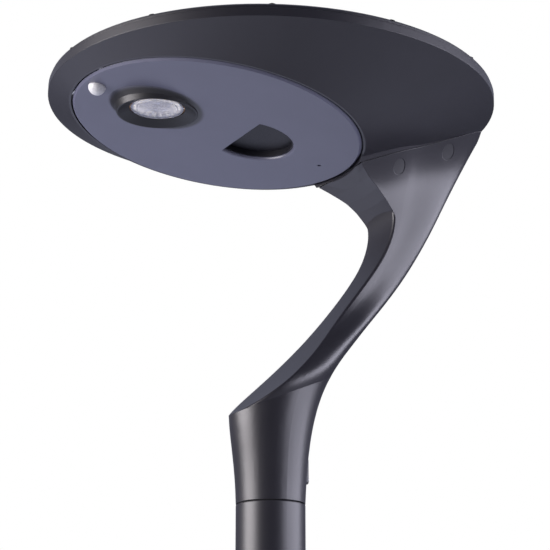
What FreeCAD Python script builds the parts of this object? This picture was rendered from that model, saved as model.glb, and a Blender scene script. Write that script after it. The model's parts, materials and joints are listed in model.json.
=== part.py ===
import FreeCAD, Part
import math
import os
from FreeCAD import Placement, Rotation, Vector

# Solar street lamp: a round head with a photovoltaic top, carried by a swept cast arm on a
# pole-top sleeve.  +Z is up along the pole, the lamp looks towards -Y, and the origin is the
# centre of the sleeve's open bottom end, where the pole goes in.  Millimetres.

# ---- driving dimensions: pole joint ---------------------------------------------------------
POLE_D = 76.0            # pole top that the sleeve slips over
POLE_CLEAR = 0.4         # all round, sleeve on pole
SLEEVE_D = 89.0
SLEEVE_LENGTH = 148.6
POLE_INSERT = 100.0      # how far the pole goes in
SHOULDER = 8.0           # web the pole stops against
CABLE_HOLE_R = 18.0
SPIGOT_D = 76.0
SPIGOT_WALL = 5.0
SPIGOT_RISE = 74.0       # spigot above the seam
RUN_CLEAR = 0.05         # radial, for a part that turns on another
PART_GAP = 0.4           # between parts that move past each other
SEAM_GAP = 1.4           # between sleeve and collar
SEAM_CHAMFER = 0.8
SET_SCREW_R = 4.0
SET_ROWS = (35.0, 72.0)
SET_COUNT = 3
STOP_PIN_R = 3.0
STOP_PIN_REACH = 4.5     # out of the spigot
STOP_DROP = 8.0          # pin axis below the spigot's top
STOP_LUG_DEG = 10.0      # width of the lug the pin meets

# ---- driving dimensions: arm ------------------------------------------------------------------
ARM_SLANT = 23.0         # the arm's sections lean back by this much
COLLAR_FLARE_R = 47.2
COLLAR_STRAIGHT = 45.0   # height at which the flare has started
WEB = 14.0               # front wall of the arm
CHANNEL_HALF = 11.0      # rear cable channel
CHANNEL_BOTTOM = 100.0
COVER_W, COVER_H, COVER_T = 26.0, 34.0, 4.0
COVER_LOW = 28.0         # above the seam
COVER_FACE = 48.8        # outer face from the pole axis
COVER_SCREW_R, COVER_SCREW_PITCH = 1.5, 16.0
CLAMP_PITCH = 13.0

# ---- driving dimensions: head -----------------------------------------------------------------
RIM_R = 300.0
HEAD_HEIGHT = 538.9      # rim's lower edge above the seam
HEAD_TILT = 1.5          # front edge higher, degrees
BAND_H = 11.0
BEZEL_TOP = 17.1
BEZEL_GROOVE = 1.0
SHELL_INSET = 7.0        # radial, leaves a wall of about three millimetres
FLANGE_IN_R = 287.0      # the rim flange carries the bezel's screws
LEDGE_IN_R = 276.0
LEDGE_LOW = 4.0
TRAY_SEAT = 8.6
TRAY_T = 2.0
SHEET_T = 0.8
CELL_T = 0.4
GLASS_T = 3.2
GLASS_CLEAR = 1.0
GASKET_T = 0.8
CELL_SIDE = 78.0
CELL_GAP = 2.5
CELL_FIELD_R = 272.0
BEZEL_SCREWS = 12
BEZEL_SCREW_R = 2.0
BEZEL_SCREW_HEAD_R = 3.8
BEZEL_SCREW_HEAD_H = 2.0
BEZEL_SCREW_CIRCLE = 292.5

# ---- driving dimensions: service plate (the door under the head) ----------------------------
PLATE_R = 194.0
PLATE_T = 4.0
PLATE_CHAMFER = 3.0
PLATE_FORWARD = 79.7     # plate centre ahead of the rim centre
PLATE_DEPTH = 45.7       # and below the rim's lower edge
PLATE_TILT = 8.1         # more than the head's tilt
PLATE_GAP = 2.0
PLATE_PROUD = 2.5
RING_WALL = 3.0
SEAT_Z = 10.6
SEAT_T = 3.0
SEAL_IN_R, SEAL_W = 140.3, 5.0
HINGE_BACK = 5.5         # hinge axis behind the plate's front edge
HINGE_Z = 5.5            # and above its outer face
HINGE_PIN_R = 2.0
KNUCKLE_R = 3.6
KNUCKLE_X = (25.0, 36.0)
HINGE_BOSS_X = (47.0, 61.0)
HINGE_PIN_X = (26.0, 55.5)

# ---- driving dimensions: light unit, sensor, grip and latch -----------------------------------
LAMP_FORWARD = 86.6      # centre of the crater's rim ahead of the plate centre
LAMP_DROP = 7.9          # and below the plate's face
CRATER_BASE_R = 61.5
CRATER_BASE_SHIFT = 4.0  # the base sits further forward than the rim
CRATER_RIM_R = 53.0
CRATER_BLEND = (0.0, 0.06, 0.2, 0.5, 1.0)
CRATER_LIP = 0.4         # flat left on the crater's rim
MOUTH_FLARE = 1.75       # the cut opens this much per millimetre below the rim
LAMP_BORE_R = 38.0
FUNNEL_Z = 6.9           # funnel's inner edge above the rim
FUNNEL_T = 1.5
LENS_R = 35.0
LENS_EDGE_Z = 6.2
LENS_CROWN = 1.8
LENS_FLANGE_R = 37.6
GLARE_IN_R = 36.6
LENS_FLANGE_Z = (10.0, 13.0)
BOARD_Z, BOARD_T = 17.4, 1.6
SINK_SEAT = 20.0
SINK_BOSS_R = 48.0
EMITTER_RING_R, EMITTERS = 22.0, 16
SINK_R = 46.0
SINK_BASE_T = 4.0
SINK_FIN_H = 15.0
SINK_FIN_T = 2.2
SINK_FIN_PITCH = 8.4
PIR_FORWARD = 174.0
PIR_R = 11.5
PIR_WALL = 1.2
PIR_FLANGE_R = 14.0
GRIP_CENTRE = 51.8
GRIP_R = 57.0
GRIP_CHORD = 35.5
GRIP_DEPTH = 12.0
GRIP_WALL = 2.0
GRIP_STEP = 2.0
PIN_HOLE_BACK = 157.0
PIN_HOLE_R = 2.5
BOLT_HALF = 9.0
BOLT_T = 3.0
BOLT_LIFT = 1.8          # above the plate's inner face
BOLT_THROW = 7.0
BOLT_ENGAGE = 4.5

# ---- driving dimensions: what hangs inside the head --------------------------------------------
BATTERY_CELL_R, BATTERY_CELL_L = 13.1, 65.2
BATTERY_ROWS, BATTERY_COLS = 4, 2
BATTERY_GAP = 0.8
BATTERY_Y = -20.0
BATTERY_WALL = 2.0
LID_T = 1.5
LID_EAR_R, LID_SCREW_R = 4.5, 1.25
LID_EAR_OVERLAP = 1.5     # how far an ear runs into the box's wall
JUNCTION_SIDE, JUNCTION_H, JUNCTION_GAP = 60.0, 14.0, 2.5
JUNCTION_Y = -40.0
TRAY_SLOT = 20.0         # the cells' leads pass down through it
CASE_X, CASE_W, CASE_L, CASE_H, CASE_WALL = 102.0, 50.0, 80.0, 26.0, 2.0
ROCKER_W, ROCKER_L, ROCKER_T = 10.0, 17.0, 7.0

# ---- driving dimensions: arm-to-head joint ------------------------------------------------------
JOINT_T, JOINT_S = 288.0, 382.6   # a point of the flat joint under the shell's saddle
JOINT_LEAN = 1.7         # the joint falls towards the rear, degrees off the arm's sections
JOINT_GASKET = 0.8
JOINT_INSET = 1.5
SADDLE_BITE = 2.0        # the saddle runs this far into the shell's wall
SADDLE_RIM = 0.5         # and stops this far under the rim
FRONT_ROUND = 3.0        # edges of the arm's flat front
TONGUE_HALF = 27.5
TONGUE_CLEAR = 0.5
TONGUE_T = (322.0, 430.0)     # along the slant
TONGUE_LOW = 338.0
PAD_TOP = 395.0
ARM_BOLT_T = (337.0, 420.0)
ARM_BOLT_S = 363.0
ARM_BOLT_R = 4.0
ARM_BOLT_HEAD_R, ARM_BOLT_HEAD_H = 6.5, 8.0
ARM_BOLT_SEAT = 36.0
PLUG_R, PLUG_STEP, PLUG_CLEAR = 9.5, 0.6, 0.5
HEAD_BOLT_X, HEAD_BOLT_T = 18.0, (352.0, 404.0)
WIRE_HOLE_R, WIRE_HOLE_T = 8.0, 378.0

BOLT_Z = PLATE_T + BOLT_LIFT
BOLT_TIP = PLATE_R + PLATE_GAP + BOLT_ENGAGE
BOLT_TAIL = PIN_HOLE_BACK - 4.0
SPRING_SEAT = 169.0
WINDOW_END = 187.0
SEAM_Z = SLEEVE_LENGTH + SEAM_GAP
SPIGOT_TOP = SEAM_Z + SPIGOT_RISE
SLANT = Placement(Vector(0, 0, SEAM_Z), Rotation(Vector(1, 0, 0), ARM_SLANT))
JOINT = SLANT * Placement(Vector(0, JOINT_T, JOINT_S), Rotation(Vector(1, 0, 0), -JOINT_LEAN))
HEAD = Placement(Vector(0, 0, SEAM_Z + HEAD_HEIGHT), Rotation(Vector(1, 0, 0), -HEAD_TILT))
PLATE = HEAD * Placement(Vector(0, -PLATE_FORWARD, -PLATE_DEPTH),
                         Rotation(Vector(1, 0, 0), -PLATE_TILT))
LAMP = PLATE * Placement(Vector(0, -LAMP_FORWARD, -LAMP_DROP), Rotation(Vector(1, 0, 0), PLATE_TILT))
X, Y, Z = Vector(1, 0, 0), Vector(0, 1, 0), Vector(0, 0, 1)


# ---- small helpers --------------------------------------------------------------------------------
def disc(radius, low, high, x=0.0, y=0.0):
    return Part.makeCylinder(radius, high - low, Vector(x, y, low))


def ring(outer, inner, low, high, x=0.0, y=0.0):
    return disc(outer, low, high, x, y).cut(disc(inner, low - 1, high + 1, x, y))


def block(x0, x1, y0, y1, z0, z1):
    return Part.makeBox(x1 - x0, y1 - y0, z1 - z0, Vector(x0, y0, z0))


def bar(radius, start, end):
    run = end - start
    return Part.makeCylinder(radius, run.Length, start, run)


def rounded_block(x0, x1, y0, y1, z0, z1, r, axis=Z):
    """A block whose edges along one axis are rounded."""
    body = block(x0, x1, y0, y1, z0, z1)
    edges = [e for e in body.Edges
             if abs((e.Vertexes[1].Point - e.Vertexes[0].Point).normalize().dot(axis)) > 0.99]
    return body.makeFillet(r, edges)


def turned(points, x=0.0, y=0.0):
    """Solid of revolution about a vertical line, from (radius, height) corners."""
    corners = [Vector(x + r, y, z) for r, z in points]
    face = Part.Face(Part.makePolygon(corners + corners[:1]))
    return face.revolve(Vector(x, y, 0), Z, 360)


def join(shapes, tidy=True):
    """One body from several; tidy merges faces that lie in one surface."""
    shapes = list(shapes)
    body = shapes[0].multiFuse(shapes[1:])
    return body.removeSplitter() if tidy else body


def cut_all(body, tools):
    for tool in tools:
        body = body.cut(tool)
    return body


def moved(shape, frame):
    copy = shape.copy()
    copy.Placement = frame * copy.Placement
    return copy


def around(count, start=0.0):
    return [math.radians(start + k * 360.0 / count) for k in range(count)]


def largest(shape):
    return max(shape.Solids, key=lambda s: s.Volume)


# ---- pole joint ------------------------------------------------------------------------------------
def set_screw_places():
    return [(a, z) for z in SET_ROWS for a in around(SET_COUNT, 90)]


def pole_sleeve():
    r = SLEEVE_D / 2
    bore = POLE_D / 2 + POLE_CLEAR / 2
    body = turned([(0, 0), (r, 0), (r, SLEEVE_LENGTH - SEAM_CHAMFER),
                   (r - SEAM_CHAMFER, SLEEVE_LENGTH), (0, SLEEVE_LENGTH)])
    holes = [disc(bore, -1, POLE_INSERT), disc(CABLE_HOLE_R, POLE_INSERT - 1, SLEEVE_LENGTH),
             disc(SPIGOT_D / 2, POLE_INSERT + SHOULDER, SLEEVE_LENGTH + 1)]
    for a, z in set_screw_places():
        way = Vector(math.cos(a), math.sin(a), 0)
        holes.append(bar(SET_SCREW_R, way * (bore - 3) + Z * z, way * (r + 3) + Z * z))
    return cut_all(body, holes)


def sleeve_set_screws():
    bore = POLE_D / 2 + POLE_CLEAR / 2
    screws = []
    for a, z in set_screw_places():
        way = Vector(math.cos(a), math.sin(a), 0)
        at = Z * z
        body = bar(SET_SCREW_R, way * (bore + 0.3) + at, way * (SLEEVE_D / 2 - 0.6) + at)
        socket = bar(SET_SCREW_R * 0.5, way * (SLEEVE_D / 2 - 3.4) + at, way * SLEEVE_D + at)
        screws.append(body.cut(socket))
    return Part.makeCompound(screws)


def swivel_spigot():
    r = SPIGOT_D / 2
    tube = ring(r, r - SPIGOT_WALL, POLE_INSERT + SHOULDER, SPIGOT_TOP)
    hole = bar(STOP_PIN_R, Vector(0, -r + SPIGOT_WALL + 1, SPIGOT_TOP - STOP_DROP),
               Vector(0, -r - 1, SPIGOT_TOP - STOP_DROP))
    return tube.cut(hole)


def stop_pin():
    r = SPIGOT_D / 2
    z = SPIGOT_TOP - STOP_DROP
    return bar(STOP_PIN_R, Vector(0, -r + SPIGOT_WALL - 1, z), Vector(0, -r - STOP_PIN_REACH, z)) \
        .cut(disc(r - SPIGOT_WALL, z - 9, z + 9))


def seam_ring():
    return ring(SLEEVE_D / 2 - 2.2, SPIGOT_D / 2, SLEEVE_LENGTH, SEAM_Z - PART_GAP)


def thrust_washer():
    return ring(SPIGOT_D / 2 - 0.5, SPIGOT_D / 2 - SPIGOT_WALL + 0.5, SPIGOT_TOP, SPIGOT_TOP + 1.6)


# ---- arm --------------------------------------------------------------------------------------------
def section(front, rear, half, square, spread=0.0, count=40):
    """Closed outline in a section plane: half wide, from front to rear; square 2 is an ellipse."""
    mid, reach, power = (front + rear) / 2, (rear - front) / 2, 2.0 / square
    points = []
    for a in around(count):
        c, s = math.cos(a), math.sin(a)
        along = math.copysign(abs(s) ** power, s)
        wide = half * (1 + spread * along)
        points.append(Vector(wide * math.copysign(abs(c) ** power, c), mid + reach * along, 0))
    curve = Part.BSplineCurve()
    curve.interpolate(points, True)
    return Part.Wire(curve.toShape())


def at_height(wire, height, lean):
    return moved(wire, Placement(Vector(0, 0, SEAM_Z), Rotation(X, lean))
                 * Placement(Vector(0, 0, height), Rotation()))


# Sections of the arm, each in a plane that leans back by ARM_SLANT: height along the leaning
# axis, front and rear ends, half width, squareness, and how much wider the rear end is.
LIP = (125.0, -6.5, 141.0, 57.0, 2.0, 0.0)
ARM_SECTIONS = [
    LIP,
    (150.0, 10.0, 177.0, 57.0, 2.5, 0.0),
    (182.0, 80.0, 238.0, 37.5, 3.6, 0.0),
    (225.0, 180.0, 314.0, 29.0, 5.0, 0.0),
    (270.0, 235.0, 374.0, 33.0, 6.0, 0.0),
    (312.0, 255.0, 425.0, 37.0, 6.0, 0.0),
    (345.0, 250.0, 461.0, 44.0, 8.0, 0.10),
    (372.0, 235.0, 484.0, 61.0, 10.0, 0.22),
    (400.0, 220.0, 503.0, 88.0, 10.0, 0.24),
    (420.0, 215.0, 516.0, 106.0, 10.0, 0.20),
]
# The concave front of the arm, from the collar's lip to the service plate: (along, height).
FRONT_LINE = [(-6.5, 124.5), (29.0, 133.0), (76.0, 149.0), (125.0, 170.0), (190.0, 204.0),
              (247.0, 237.0), (296.0, 277.0), (313.5, 315.0), (303.0, 345.0), (292.4, 361.3),
              (281.0, 380.0), (270.0, 395.0)]

# Where the front meets the plate it is turned about the plate's axis: (out from the gap, down).
BROW_LINE = [(2.5, 3.0), (8.0, 7.0), (18.0, 13.0), (35.7, 21.5), (50.5, 31.5), (64.0, 43.5),
             (73.0, 54.0), (80.0, 66.0)]


def collar_solid():
    r = SLEEVE_D / 2
    foot = at_height(section(-r, r, r, 2), 0, 0)
    neck = at_height(section(-COLLAR_FLARE_R, COLLAR_FLARE_R, COLLAR_FLARE_R, 2), COLLAR_STRAIGHT, 0)
    throat = at_height(section(-36.5, 69, 51, 2), 81, ARM_SLANT * 0.45)
    lip = at_height(section(*LIP[1:4], 2), LIP[0], ARM_SLANT)
    return Part.makeLoft([foot, neck, throat, lip], True, False)


def arm_blank():
    wires = [at_height(section(f, r, h, n, k), s, ARM_SLANT) for s, f, r, h, n, k in ARM_SECTIONS]
    return Part.makeLoft(wires, True, False)


def front_trimmed(blank):
    """The blank with its concave front cut and that face's long edges rounded."""
    body = blank.cut(front_cutter())
    foot = SLANT.multVec(Vector(0, *FRONT_LINE[4]))
    front = min(body.Faces, key=lambda f: f.distToShape(Part.Vertex(foot))[0])
    return body.makeFillet(FRONT_ROUND, [e for e in front.Edges if e.Length > 300])


def extruded_region(points, corners, half):
    """Prism across the arm: a spline through points, closed by straight runs to corners."""
    spline = Part.BSplineCurve()
    spline.interpolate([Vector(0, t, s) for t, s in points])
    line = [Vector(0, *points[-1])] + [Vector(0, *c) for c in corners] + [Vector(0, *points[0])]
    wire = Part.Wire([spline.toShape()] + Part.makePolygon(line).Edges)
    return moved(Part.Face(wire).extrude(X * 2 * half), SLANT * Placement(X * -half, Rotation()))


def front_cutter():
    start = (-40.0, 122.0)
    return extruded_region([start] + FRONT_LINE + [(258.0, 398.0)],
                           [(250.0, 460.0), (-200.0, 460.0), (-200.0, 122.0)], 160.0)


def channel_cutter():
    low = CHANNEL_BOTTOM + CHANNEL_HALF
    wall = [(56.0, low), (84.0, 134.0), (125.0 + 0.45 * WEB, 170.0 - 0.9 * WEB),
            (190.0 + WEB * 0.5, 204.0 - 0.9 * WEB), (296.0 + WEB, 277.0 - 0.4 * WEB),
            (313.5 + WEB, 315.0), (320.0 + WEB * 0.6, 350.0)]
    run = extruded_region(wall, [(520.0, 350.0), (520.0, low)], CHANNEL_HALF)
    mouth = moved(Part.makeCylinder(CHANNEL_HALF, 160, Vector(0, 56.0, low), Y), SLANT)
    return run.fuse(mouth)


def slant_block(x0, x1, t0, t1, s0, s1):
    return moved(block(x0, x1, t0, t1, s0, s1), SLANT)


def slant_bar(radius, start, end):
    return moved(bar(radius, start, end), SLANT)


def cover_seat():
    low = SEAM_Z + COVER_LOW
    return rounded_block(-COVER_W / 2, COVER_W / 2, COVER_FACE - COVER_T, COVER_FACE + 12,
                         low, low + COVER_H, 3.0, Y)


def clamp_heights():
    mid = SEAM_Z + COVER_LOW + COVER_H * 0.62
    return mid - CLAMP_PITCH / 2, mid + CLAMP_PITCH / 2


def cover_screw_places():
    z = SEAM_Z + COVER_LOW + 6.0
    return [(-COVER_SCREW_PITCH / 2, z), (COVER_SCREW_PITCH / 2, z)]


def under_rim():
    """Room under the head: the arm's top stays inside the rim."""
    high = moved(disc(RIM_R - 0.5, -90, BAND_H), HEAD)
    return high.fuse(moved(disc(2 * RIM_R, -2 * RIM_R, -90), HEAD))


def brow():
    """The arm's front near the top runs round with the service plate's edge."""
    r = PLATE_R + PLATE_GAP
    high = 10.0
    body = turned([(r, -1)] + [(r + out, -down) for out, down in BROW_LINE]
                  + [(r + BROW_LINE[-1][0], high), (r, high)])
    return moved(body, PLATE)


def joint_slab(low, high):
    return moved(block(-200, 200, -200, 400, low, high), JOINT)


def joint_gasket():
    """Thin sheet between arm and shell, set in a little from their outline."""
    blank = arm_blank().common(joint_slab(-JOINT_GASKET, 0)).common(under_rim())
    body = blank.cut(head_outline()).cut(moved(disc(PLATE_R + PLATE_GAP + RING_WALL, -30, 40), PLATE))
    along = JOINT.Rotation.multVec(Y)
    for shift in (X, -X, along, -along):
        body = body.common(moved(blank, Placement(shift * JOINT_INSET, Rotation())))
    hole = slant_block(-TONGUE_HALF - 1, TONGUE_HALF + 1, TONGUE_T[0] - 1, TONGUE_T[1] + 1, 300, 460)
    return largest(body.cut(hole))


def saddle():
    """The shell's underside where the arm meets it, brought down to the flat joint."""
    body = arm_blank().common(joint_slab(0, 60)).common(under_rim())
    inside = moved(disc(RIM_R - SADDLE_BITE, -SADDLE_RIM, BAND_H + 1), HEAD)
    return body.cut(skin(SADDLE_BITE)).cut(plate_clearance()).cut(inside)


def arm_casting():
    blank = arm_blank()
    body = collar_solid().fuse(front_trimmed(blank).common(under_rim()))
    body = body.fuse(blank.common(brow()))
    body = largest(body.cut(head_outline()).cut(plate_clearance()).cut(joint_slab(-JOINT_GASKET, 90)))
    bore = SPIGOT_D / 2 + RUN_CLEAR
    top = SPIGOT_TOP + 1.6 + 0.4
    stop_z = SPIGOT_TOP - STOP_DROP
    groove = ring(SPIGOT_D / 2 + STOP_PIN_REACH + PART_GAP, bore - 1,
                  stop_z - STOP_PIN_R - PART_GAP, top)
    lug = Part.makeCylinder(80, 60, Vector(0, 0, stop_z - 30), Z, STOP_LUG_DEG)
    lug.rotate(Vector(0, 0, 0), Z, 90 - STOP_LUG_DEG / 2)
    cutters = [disc(bore, SEAM_Z - 1, top), groove.cut(lug),
               disc(CABLE_HOLE_R, top - 1, top + 8), channel_cutter(),
               bar(13.0, Vector(0, 10, top + 2), Vector(0, 34, top + 44)), cover_seat(),
               slant_block(-TONGUE_HALF - TONGUE_CLEAR, TONGUE_HALF + TONGUE_CLEAR,
                           TONGUE_T[0] - TONGUE_CLEAR, TONGUE_T[1] + TONGUE_CLEAR,
                           TONGUE_LOW - TONGUE_CLEAR, 460.0)]
    for z in clamp_heights():
        cutters.append(bar(SET_SCREW_R, Vector(0, bore - 2, z), Vector(0, COVER_FACE, z)))
    for x, z in cover_screw_places():
        cutters.append(bar(COVER_SCREW_R, Vector(x, COVER_FACE - COVER_T - 4, z),
                           Vector(x, COVER_FACE, z)))
    for side in (-1, 1):
        for t in ARM_BOLT_T:
            cutters.append(slant_bar(ARM_BOLT_R, Vector(side * 20, t, ARM_BOLT_S),
                                     Vector(side * 60, t, ARM_BOLT_S)))
            cutters.append(slant_bar(PLUG_R, Vector(side * ARM_BOLT_SEAT, t, ARM_BOLT_S),
                                     Vector(side * 130, t, ARM_BOLT_S)))
    return largest(cut_all(body, cutters))


def arm_bolts():
    bolts = []
    for side in (-1, 1):
        for t in ARM_BOLT_T:
            seat = Vector(side * ARM_BOLT_SEAT, t, ARM_BOLT_S)
            out = X * side
            shank = slant_bar(ARM_BOLT_R, Vector(side * (TONGUE_HALF - 17), t, ARM_BOLT_S), seat)
            head = slant_bar(ARM_BOLT_HEAD_R, seat, seat + out * ARM_BOLT_HEAD_H)
            bolts.append(join([shank, head]).cut(
                slant_bar(3.4, seat + out * 4, seat + out * (ARM_BOLT_HEAD_H + 2))))
    return Part.makeCompound(bolts)


def arm_bolt_plugs():
    """Plugs that close the bolt wells and follow the arm's side, a shallow step below it."""
    blank = arm_blank()
    plugs = []
    for side in (-1, 1):
        stepped = moved(blank, Placement(X * (-side * PLUG_STEP), Rotation()))
        for t in ARM_BOLT_T:
            foot = Vector(side * (ARM_BOLT_SEAT + ARM_BOLT_HEAD_H + PLUG_CLEAR), t, ARM_BOLT_S)
            plugs.append(slant_bar(PLUG_R, foot, foot + X * side * 2 * TONGUE_HALF).common(stepped))
    return Part.makeCompound(plugs)


def access_cover():
    low = SEAM_Z + COVER_LOW
    body = rounded_block(-COVER_W / 2, COVER_W / 2, COVER_FACE - COVER_T, COVER_FACE,
                         low, low + COVER_H, 3.0, Y)
    rim = [e for e in body.Edges if abs(e.BoundBox.YMin - COVER_FACE) < 1e-6]
    body = body.makeChamfer(0.8, rim)
    for x, z in cover_screw_places():
        body = body.cut(bar(COVER_SCREW_R, Vector(x, 0, z), Vector(x, 60, z)))
    return body


def access_cover_screws():
    screws = []
    for x, z in cover_screw_places():
        shank = bar(COVER_SCREW_R, Vector(x, COVER_FACE - COVER_T - 4, z), Vector(x, COVER_FACE, z))
        head = bar(2.8, Vector(x, COVER_FACE, z), Vector(x, COVER_FACE + 1.5, z))
        screws.append(join([shank, head]))
    return Part.makeCompound(screws)


def azimuth_clamp_screws():
    screws = []
    start = SPIGOT_D / 2 + PART_GAP
    for z in clamp_heights():
        body = bar(SET_SCREW_R, Vector(0, start, z), Vector(0, COVER_FACE - COVER_T - 0.3, z))
        screws.append(body.cut(bar(2.0, Vector(0, COVER_FACE - COVER_T - 3, z), Vector(0, 60, z))))
    return Part.makeCompound(screws)


# ---- head shell ------------------------------------------------------------------------------------
def lip_circle(radius, height):
    return Part.Wire(moved(Part.makeCircle(radius, Vector(0, 0, height)), PLATE))


def rim_circle(radius, height=0.0):
    return Part.Wire(moved(Part.makeCircle(radius, Vector(0, 0, height)), HEAD))


def skin(inset=0.0):
    lip = PLATE_R + PLATE_GAP + RING_WALL
    return Part.makeLoft([lip_circle(lip - inset, PLATE_PROUD), rim_circle(RIM_R - inset)], True, True)


def head_outline():
    """Everything the shell and what is above it fills, used to trim the arm."""
    return skin().fuse(moved(disc(RIM_R, 0, BAND_H), HEAD))


def plate_clearance():
    return moved(disc(PLATE_R + PLATE_GAP, -30, 40), PLATE)


def hinge_line(x):
    return Vector(x, -PLATE_R + HINGE_BACK, HINGE_Z)


def hinge_bosses():
    bosses = []
    for side in (-1, 1):
        x0, x1 = sorted((side * HINGE_BOSS_X[0], side * HINGE_BOSS_X[1]))
        y = hinge_line(0).y
        bosses.append(moved(block(x0, x1, y - KNUCKLE_R, y + KNUCKLE_R, 0, SEAT_Z), PLATE))
    return bosses


def latch_window():
    return moved(block(-BOLT_HALF - 0.6, BOLT_HALF + 0.6, PLATE_R - 2, BOLT_TIP + 1,
                       BOLT_Z - 0.5, BOLT_Z + BOLT_T + 0.5), PLATE)


def bezel_screw_places():
    return [(BEZEL_SCREW_CIRCLE * math.sin(a), -BEZEL_SCREW_CIRCLE * math.cos(a))
            for a in around(BEZEL_SCREWS, 3.0)]


def head_shell():
    outer = skin().fuse(moved(disc(RIM_R, 0, BAND_H), HEAD))
    hollow = skin(SHELL_INSET)
    top = join([disc(FLANGE_IN_R, -1, LEDGE_LOW), disc(LEDGE_IN_R, -2, BAND_H),
                disc(FLANGE_IN_R, TRAY_SEAT, BAND_H + 1)])
    body = outer.cut(hollow).cut(moved(top, HEAD))
    opening = PLATE_R + PLATE_GAP
    wall = ring(opening + RING_WALL, opening, PLATE_PROUD, SEAT_Z + SEAT_T)
    seat = ring(opening + 1, SEAL_IN_R - 1.5, SEAT_Z, SEAT_Z + SEAT_T)
    pad = slant_block(-40, 40, TONGUE_T[0] - 6, TONGUE_T[1] + 6, 340, PAD_TOP)
    inside = [moved(wall.fuse(seat), PLATE), pad] + hinge_bosses()
    body = join([body, saddle()] + [piece.common(outer) for piece in inside], False)
    cutters = [moved(disc(opening, -5, SEAT_Z), PLATE), latch_window()]
    for side in (-1, 1):
        cutters.append(moved(bar(HINGE_PIN_R + RUN_CLEAR, hinge_line(side * 40),
                                 hinge_line(side * (HINGE_PIN_X[1] + PART_GAP))), PLATE))
        for t in HEAD_BOLT_T:
            x = side * HEAD_BOLT_X
            cutters.append(slant_bar(ARM_BOLT_R, Vector(x, t, 340), Vector(x, t, PAD_TOP + 5)))
    cutters.append(slant_bar(WIRE_HOLE_R, Vector(0, WIRE_HOLE_T, 330), Vector(0, WIRE_HOLE_T, 420)))
    for x, y in bezel_screw_places():
        cutters.append(moved(disc(BEZEL_SCREW_R, 3, BAND_H + 1, x, y), HEAD))
    return largest(cut_all(body, cutters))


def head_tongue():
    low, high = TONGUE_LOW, PAD_TOP
    body = slant_block(-TONGUE_HALF, TONGUE_HALF, TONGUE_T[0], TONGUE_T[1], low, high)
    body = body.cut(skin())
    cutters = [slant_bar(WIRE_HOLE_R, Vector(0, WIRE_HOLE_T, 330), Vector(0, WIRE_HOLE_T, 420))]
    for side in (-1, 1):
        for t in ARM_BOLT_T:
            cutters.append(slant_bar(ARM_BOLT_R, Vector(side * (TONGUE_HALF - 17), t, ARM_BOLT_S),
                                     Vector(side * 40, t, ARM_BOLT_S)))
        for t in HEAD_BOLT_T:
            x = side * HEAD_BOLT_X
            cutters.append(slant_bar(ARM_BOLT_R, Vector(x, t, 346), Vector(x, t, PAD_TOP + 5)))
    return largest(cut_all(body, cutters))


def head_bolts():
    bolts = []
    for side in (-1, 1):
        for t in HEAD_BOLT_T:
            x = side * HEAD_BOLT_X
            shank = slant_bar(ARM_BOLT_R, Vector(x, t, 346), Vector(x, t, PAD_TOP))
            head = slant_bar(ARM_BOLT_HEAD_R, Vector(x, t, PAD_TOP),
                             Vector(x, t, PAD_TOP + ARM_BOLT_HEAD_H))
            bolts.append(join([shank, head]).cut(
                slant_bar(3.4, Vector(x, t, PAD_TOP + 4), Vector(x, t, PAD_TOP + 12))))
    return Part.makeCompound(bolts)


def cable_gland():
    t = WIRE_HOLE_T
    body = join([slant_bar(WIRE_HOLE_R, Vector(0, t, PAD_TOP - 10), Vector(0, t, PAD_TOP)),
                 slant_bar(11.0, Vector(0, t, PAD_TOP), Vector(0, t, PAD_TOP + 6)),
                 slant_bar(9.0, Vector(0, t, PAD_TOP + 6), Vector(0, t, PAD_TOP + 14))])
    return body.cut(slant_bar(4.0, Vector(0, t, PAD_TOP - 12), Vector(0, t, PAD_TOP + 20)))


# ---- photovoltaic top ------------------------------------------------------------------------------
SHEET_Z = TRAY_SEAT + TRAY_T
CELL_Z = SHEET_Z + SHEET_T
GLASS_Z = CELL_Z + CELL_T
GLASS_TOP = GLASS_Z + GLASS_T
GLASS_R = FLANGE_IN_R - GLASS_CLEAR


def bezel_ring():
    outer, low = RIM_R - 1.5, BAND_H
    body = turned([(FLANGE_IN_R + 0.5, low), (outer - 2, low), (outer - 2, low + BEZEL_GROOVE),
                   (outer, low + BEZEL_GROOVE), (outer, BEZEL_TOP - 2), (outer - 2, BEZEL_TOP),
                   (FLANGE_IN_R - 8, BEZEL_TOP), (FLANGE_IN_R - 9, GLASS_TOP + GASKET_T),
                   (FLANGE_IN_R + 0.5, GLASS_TOP + GASKET_T)])
    for x, y in bezel_screw_places():
        body = body.cut(disc(BEZEL_SCREW_R, low - 1, BEZEL_TOP + 1, x, y))
    return moved(body, HEAD)


def bezel_screws():
    screws = []
    for x, y in bezel_screw_places():
        head = turned([(0, BEZEL_TOP), (BEZEL_SCREW_HEAD_R, BEZEL_TOP),
                       (BEZEL_SCREW_HEAD_R, BEZEL_TOP + BEZEL_SCREW_HEAD_H * 0.5),
                       (BEZEL_SCREW_HEAD_R * 0.6, BEZEL_TOP + BEZEL_SCREW_HEAD_H),
                       (0, BEZEL_TOP + BEZEL_SCREW_HEAD_H)], x, y)
        shank = disc(BEZEL_SCREW_R, 3, BEZEL_TOP, x, y)
        screws.append(join([shank, head]).cut(disc(1.3, BEZEL_TOP + 0.8, BEZEL_TOP + 9, x, y)))
    return moved(Part.makeCompound(screws), HEAD)


def glass_gasket():
    return moved(ring(GLASS_R - 0.5, GLASS_R - 7, GLASS_TOP, GLASS_TOP + GASKET_T), HEAD)


def panel_glass():
    return moved(disc(GLASS_R, GLASS_Z, GLASS_TOP), HEAD)


def panel_backsheet():
    return moved(disc(GLASS_R - 1, SHEET_Z, CELL_Z), HEAD)


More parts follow.
